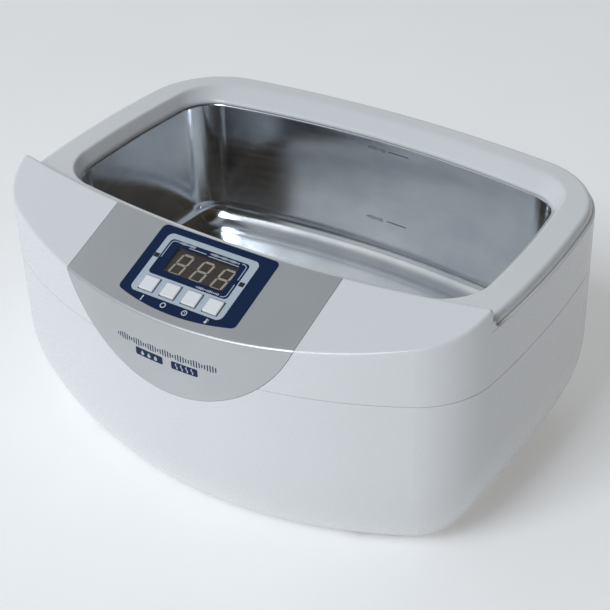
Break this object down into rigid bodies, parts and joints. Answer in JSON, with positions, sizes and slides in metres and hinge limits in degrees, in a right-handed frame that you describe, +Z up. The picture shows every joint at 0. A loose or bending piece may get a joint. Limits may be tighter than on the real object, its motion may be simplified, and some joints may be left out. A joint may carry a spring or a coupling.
{
  "type": "ultrasonic cleaner",
  "caption": "Bench-top ultrasonic cleaner: white two-part housing with a sloping key and digit panel over an open stainless tank, transducers and driver electronics inside.",
  "frame": {"origin": "middle of the footprint on the surface the feet stand on", "axes": "+Z up, -Y out of the control panel at the front, +X to the right seen from the front"},
  "size_m": [0.292, 0.2244, 0.1477],
  "materials": {
    "white_plastic": "glossy moulded white ABS",
    "silver_trim": "satin silver paint on plastic",
    "navy_label": "printed polyester film",
    "smoked_window": "smoked clear acrylic",
    "display_module": "dark potted digit module",
    "circuit_board": "green solder mask",
    "plated_screws": "zinc plated",
    "black_plastic": "black moulded plastic",
    "stainless": "polished deep-drawn stainless steel",
    "silicone": "white silicone",
    "aluminium": "machined",
    "piezo_ceramic": "fired ceramic",
    "brass": "sheet",
    "plated_steel": "nickel plated",
    "heater_silicone": "red silicone mat",
    "ferrite": "dark ferrite",
    "copper_winding": "enamelled copper",
    "capacitor_sleeve": "shrink sleeve",
    "relay_case": "sealed case",
    "terminal_green": "moulded",
    "fuse_glass": "glass tube",
    "foot_rubber": "moulded rubber",
    "lead_insulation": "PVC insulation",
    "ribbon_cable": "grey ribbon",
    "key_plastic": "white key caps",
    "plunger_plastic": "switch plunger"
  },
  "bodies": {
    "root": {"upper_housing": "white_plastic", "lower_housing": "white_plastic", "control_trim": "silver_trim", "label_overlay": "navy_label", "display_window": "smoked_window", "digit_display": "display_module", "display_board": "circuit_board", "display_screws": "plated_screws", "tact_switches": "black_plastic", "tank": "stainless", "tank_gasket": "silicone", "transducer_horns": "aluminium", "piezo_rings": "piezo_ceramic", "transducer_electrodes": "brass", "transducer_back_masses": "plated_steel", "transducer_bolts": "plated_steel", "heater_mat": "heater_silicone", "thermal_cutout": "black_plastic", "temperature_sensor": "black_plastic", "driver_board": "circuit_board", "driver_heatsink": "aluminium", "power_transistors": "black_plastic", "transformer_core": "ferrite", "transformer_winding": "copper_winding", "filter_capacitors": "capacitor_sleeve", "relays": "relay_case", "terminal_block": "terminal_green", "fuse": "fuse_glass", "fan_frame": "black_plastic", "fan_screws": "plated_screws", "mains_inlet": "black_plastic", "inlet_pins": "plated_steel", "inlet_screws": "plated_screws", "feet": "foot_rubber", "foot_screws": "plated_screws", "housing_screws": "plated_screws", "mains_leads": "lead_insulation", "transducer_leads": "lead_insulation", "heater_leads": "lead_insulation", "fan_leads": "lead_insulation", "sensor_leads": "lead_insulation", "display_cable": "ribbon_cable"},
    "key_on": {"button_on": "key_plastic", "plunger_on": "plunger_plastic"},
    "key_off": {"button_off": "key_plastic", "plunger_off": "plunger_plastic"},
    "key_timer": {"button_timer": "key_plastic", "plunger_timer": "plunger_plastic"},
    "key_temperature": {"button_temperature": "key_plastic", "plunger_temperature": "plunger_plastic"},
    "fan": {"fan_rotor": "black_plastic"}
  },
  "joints": [
    {"name": "press_on", "type": "slide", "parent": "root", "child": "key_on", "axis": [0, 0.3469, -0.9379], "range_m": [0, 0.0005], "stiffness_N_per_m": 3000, "springref_m": -0.0002},
    {"name": "press_off", "type": "slide", "parent": "root", "child": "key_off", "axis": [0, 0.3469, -0.9379], "range_m": [0, 0.0005], "stiffness_N_per_m": 3000, "springref_m": -0.0002},
    {"name": "press_timer", "type": "slide", "parent": "root", "child": "key_timer", "axis": [0, 0.3469, -0.9379], "range_m": [0, 0.0005], "stiffness_N_per_m": 3000, "springref_m": -0.0002},
    {"name": "press_temperature", "type": "slide", "parent": "root", "child": "key_temperature", "axis": [0, 0.3469, -0.9379], "range_m": [0, 0.0005], "stiffness_N_per_m": 3000, "springref_m": -0.0002},
    {"name": "fan_spin", "type": "hinge", "parent": "root", "child": "fan", "pos_m": [-0.093, 0.01, 0.0145], "axis": [0, 0, 1], "continuous": true}
  ]
}
